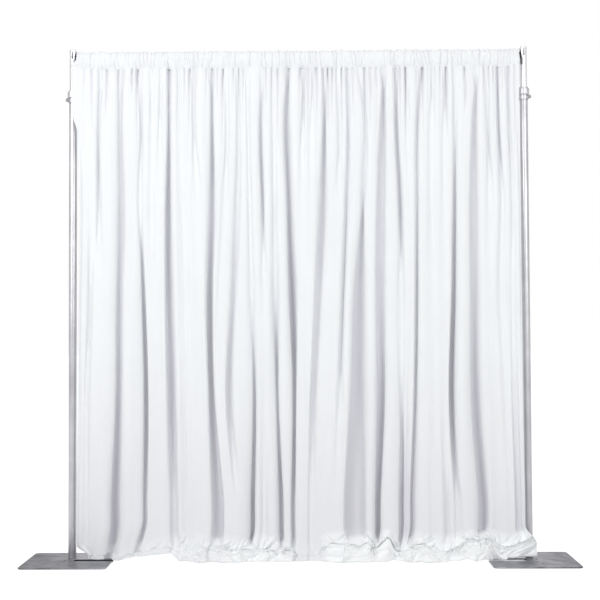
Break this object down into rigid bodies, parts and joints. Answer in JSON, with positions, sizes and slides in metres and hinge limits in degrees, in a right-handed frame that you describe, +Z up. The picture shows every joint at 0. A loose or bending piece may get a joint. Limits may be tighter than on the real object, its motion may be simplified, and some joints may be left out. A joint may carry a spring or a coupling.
{
  "type": "pipe and drape backdrop",
  "caption": "Free-standing fabric backdrop: telescoping uprights on flat slotted base plates, a telescoping crossbar hooked between them and gathered floor-length drape panels.",
  "frame": {"origin": "on the floor, midway between the two base plates and at the middle of their depth", "axes": "+X to the viewer's right along the crossbar, -Y towards the viewer at the drape's front, +Z up"},
  "size_m": [2.5786, 0.3556, 2.4448],
  "materials": {
    "plate_steel": "silver-grey rolled steel plate, satin, slightly mottled",
    "bright_steel": "bright zinc-plated steel",
    "spring_steel": "drawn spring wire",
    "tube_aluminium": "satin anodised drawn tube",
    "cast_aluminium": "tumbled casting, matt",
    "black_nylon": "moulded nylon, fine grain",
    "white_cloth": "matt white woven polyester, gathered on a rod pocket"
  },
  "bodies": {
    "left_stand": {"base_plate_left": "plate_steel", "base_pin_left": "bright_steel", "base_bolt_left": "bright_steel", "base_nut_left": "bright_steel", "lower_tube_left": "tube_aluminium", "collar_left": "cast_aluminium", "collar_bush_left": "black_nylon", "lock_barrel_left": "bright_steel", "lock_spring_left": "spring_steel"},
    "left_lock": {"lock_pin_left": "bright_steel", "lock_knob_left": "black_nylon"},
    "left_mast": {"upper_tube_left": "tube_aluminium", "mast_foot_left": "black_nylon"},
    "crossbar": {"crossbar_outer": "tube_aluminium", "hook_left": "plate_steel", "hook_plug_left": "black_nylon", "hook_rivet_left_1": "bright_steel", "hook_rivet_left_2": "bright_steel", "drape_panel_1": "white_cloth", "drape_panel_2": "white_cloth"},
    "crossbar_extension": {"crossbar_inner": "tube_aluminium", "crossbar_guide": "black_nylon", "hook_right": "plate_steel", "hook_plug_right": "black_nylon", "hook_rivet_right_1": "bright_steel", "hook_rivet_right_2": "bright_steel", "drape_panel_3": "white_cloth", "drape_panel_4": "white_cloth"},
    "right_mast": {"upper_tube_right": "tube_aluminium", "mast_foot_right": "black_nylon"},
    "right_stand": {"base_plate_right": "plate_steel", "base_pin_right": "bright_steel", "base_bolt_right": "bright_steel", "base_nut_right": "bright_steel", "lower_tube_right": "tube_aluminium", "collar_right": "cast_aluminium", "collar_bush_right": "black_nylon", "lock_barrel_right": "bright_steel", "lock_spring_right": "spring_steel"},
    "right_lock": {"lock_pin_right": "bright_steel", "lock_knob_right": "black_nylon"}
  },
  "joints": [
    {"name": "masts_lift", "type": "slide", "parent": "left_stand", "child": "left_mast", "axis": [0, 0, 1], "range_m": [0, 1.2192]},
    {"name": "crossbar_unhook", "type": "slide", "parent": "left_mast", "child": "crossbar", "axis": [0, 0, 1], "range_m": [0, 0.011]},
    {"name": "crossbar_extend", "type": "slide", "parent": "crossbar", "child": "crossbar_extension", "axis": [1, 0, 0], "range_m": [0, 0.9144]},
    {"name": "right_mast_stays", "type": "slide", "parent": "crossbar_extension", "child": "right_mast", "axis": [0, 0, 1], "range_m": [-0.011, 0]},
    {"name": "right_stand_stays", "type": "slide", "parent": "right_mast", "child": "right_stand", "axis": [0, 0, 1], "range_m": [-1.2192, 0]},
    {"name": "left_lock_pull", "type": "slide", "parent": "left_stand", "child": "left_lock", "axis": [-0.7071, -0.7071, 0], "range_m": [0, 0.005], "stiffness_N_per_m": 1500, "springref_m": -0.006, "deforming": ["lock_spring_left"]},
    {"name": "right_lock_pull", "type": "slide", "parent": "right_stand", "child": "right_lock", "axis": [0.7071, -0.7071, 0], "range_m": [0, 0.005], "stiffness_N_per_m": 1500, "springref_m": -0.006, "deforming": ["lock_spring_right"]}
  ],
  "couplings": [
    {"joint": "right_mast_stays", "follows": "crossbar_unhook", "ratio": -1},
    {"joint": "right_stand_stays", "follows": "masts_lift", "ratio": -1}
  ]
}
